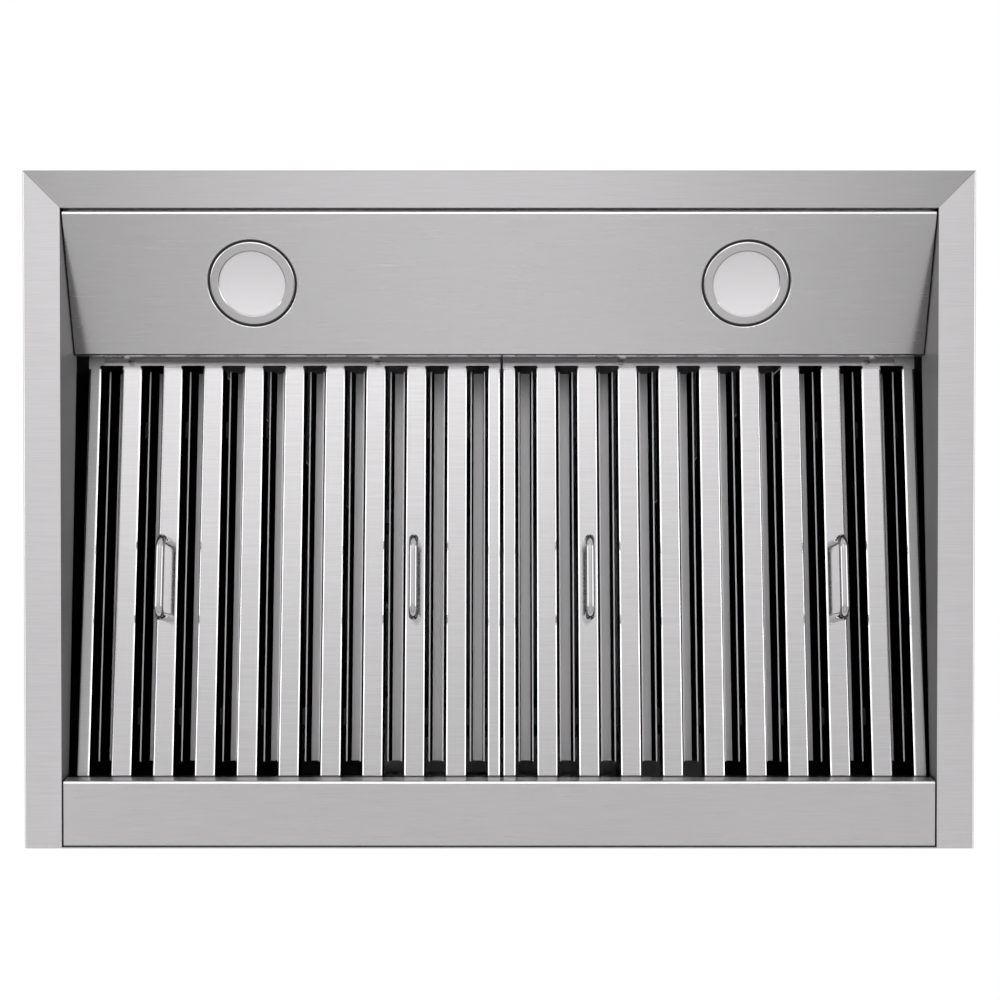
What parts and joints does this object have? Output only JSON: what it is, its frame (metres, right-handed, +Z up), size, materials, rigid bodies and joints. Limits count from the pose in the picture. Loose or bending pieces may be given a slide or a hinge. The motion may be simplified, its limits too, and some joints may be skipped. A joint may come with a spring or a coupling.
{
  "type": "wall mount range hood",
  "caption": "Wall mount range hood: pyramid canopy with telescoping chimney, sloped lamp panel, removable baffle filters with wire handles, centrifugal blower and damper.",
  "frame": {"origin": "middle of the hood's width, on the wall plane, at the underside of the canopy's flange", "axes": "+X to the right seen from the front, +Y into the wall, +Z up the chimney"},
  "size_m": [0.762, 0.546, 0.81],
  "materials": {
    "brushed_stainless": "fine cross brushed grain",
    "filter_steel": "bright, lightly brushed",
    "polished_wire": "polished",
    "lamp_ring": "fine turned",
    "lamp_housing_aluminium": "cast",
    "frosted_lens": "frosted",
    "button_steel": "turned cap",
    "circuit_board": "coated board",
    "black_plastic": "moulded",
    "motor_paint": "satin",
    "galvanised_steel": "zinc coated",
    "fastener_steel": "plated"
  },
  "bodies": {
    "hood": {"back_panel": "galvanised_steel", "blower_left_plate": "galvanised_steel", "blower_right_plate": "galvanised_steel", "blower_scroll": "galvanised_steel", "cable_gland": "black_plastic", "canopy_front": "brushed_stainless", "canopy_left_side": "brushed_stainless", "canopy_right_side": "brushed_stainless", "capacitor": "black_plastic", "chimney_screws": "fastener_steel", "control_board": "circuit_board", "control_housing": "black_plastic", "damper_pin": "fastener_steel", "drip_channel": "brushed_stainless", "filter_front_rail": "galvanised_steel", "lamp_panel": "brushed_stainless", "lamp_panel_screws": "fastener_steel", "lamp_studs": "fastener_steel", "led_driver": "black_plastic", "left_lamp_housing": "lamp_housing_aluminium", "left_lamp_led_board": "circuit_board", "left_lamp_lens": "frosted_lens", "left_lamp_trim_ring": "lamp_ring", "lower_chimney": "brushed_stainless", "motor": "motor_paint", "motor_bracket": "motor_paint", "outlet_collar": "galvanised_steel", "outlet_screws": "fastener_steel", "right_lamp_housing": "lamp_housing_aluminium", "right_lamp_led_board": "circuit_board", "right_lamp_lens": "frosted_lens", "right_lamp_trim_ring": "lamp_ring", "top_plate": "galvanised_steel", "wiring_box": "galvanised_steel", "wiring_box_cover": "galvanised_steel"},
    "chimney_top": {"bracket_screws": "fastener_steel", "chimney_bracket": "galvanised_steel", "upper_chimney": "brushed_stainless"},
    "push_button_1": {"button_1": "button_steel"},
    "push_button_2": {"button_2": "button_steel"},
    "push_button_3": {"button_3": "button_steel"},
    "push_button_4": {"button_4": "button_steel"},
    "push_button_5": {"button_5": "button_steel"},
    "front_damper": {"front_damper_flap": "galvanised_steel"},
    "impeller_wheel": {"impeller": "galvanised_steel", "motor_shaft": "fastener_steel"},
    "left_filter": {"left_filter_channels": "filter_steel", "left_filter_face": "filter_steel", "left_filter_handles": "polished_wire", "left_filter_straps": "filter_steel"},
    "rear_damper": {"rear_damper_flap": "galvanised_steel"},
    "right_filter": {"right_filter_channels": "filter_steel", "right_filter_face": "filter_steel", "right_filter_handles": "polished_wire", "right_filter_straps": "filter_steel"}
  },
  "joints": [
    {"name": "left_filter_slide", "type": "slide", "parent": "hood", "child": "left_filter", "axis": [0, -0.99, 0.1409], "range_m": [0, 0.02]},
    {"name": "right_filter_slide", "type": "slide", "parent": "hood", "child": "right_filter", "axis": [0, -0.99, 0.1409], "range_m": [0, 0.02]},
    {"name": "impeller_spin", "type": "hinge", "parent": "hood", "child": "impeller_wheel", "pos_m": [0, -0.1775, 0.22], "axis": [1, 0, 0], "continuous": true},
    {"name": "front_damper_hinge", "type": "hinge", "parent": "hood", "child": "front_damper", "pos_m": [0, -0.1325, 0.384], "axis": [-1, 0, 0], "range_deg": [0, 80]},
    {"name": "rear_damper_hinge", "type": "hinge", "parent": "hood", "child": "rear_damper", "pos_m": [0, -0.1325, 0.384], "axis": [1, 0, 0], "range_deg": [0, 80]},
    {"name": "chimney_extension", "type": "slide", "parent": "hood", "child": "chimney_top", "axis": [0, 0, 1], "range_m": [0, 0.28]},
    {"name": "button_1_press", "type": "slide", "parent": "hood", "child": "push_button_1", "axis": [0, 1, 0], "range_m": [0, 0.002], "stiffness_N_per_m": 400, "springref_m": -0.002},
    {"name": "button_2_press", "type": "slide", "parent": "hood", "child": "push_button_2", "axis": [0, 1, 0], "range_m": [0, 0.002], "stiffness_N_per_m": 400, "springref_m": -0.002},
    {"name": "button_3_press", "type": "slide", "parent": "hood", "child": "push_button_3", "axis": [0, 1, 0], "range_m": [0, 0.002], "stiffness_N_per_m": 400, "springref_m": -0.002},
    {"name": "button_4_press", "type": "slide", "parent": "hood", "child": "push_button_4", "axis": [0, 1, 0], "range_m": [0, 0.002], "stiffness_N_per_m": 400, "springref_m": -0.002},
    {"name": "button_5_press", "type": "slide", "parent": "hood", "child": "push_button_5", "axis": [0, 1, 0], "range_m": [0, 0.002], "stiffness_N_per_m": 400, "springref_m": -0.002}
  ]
}
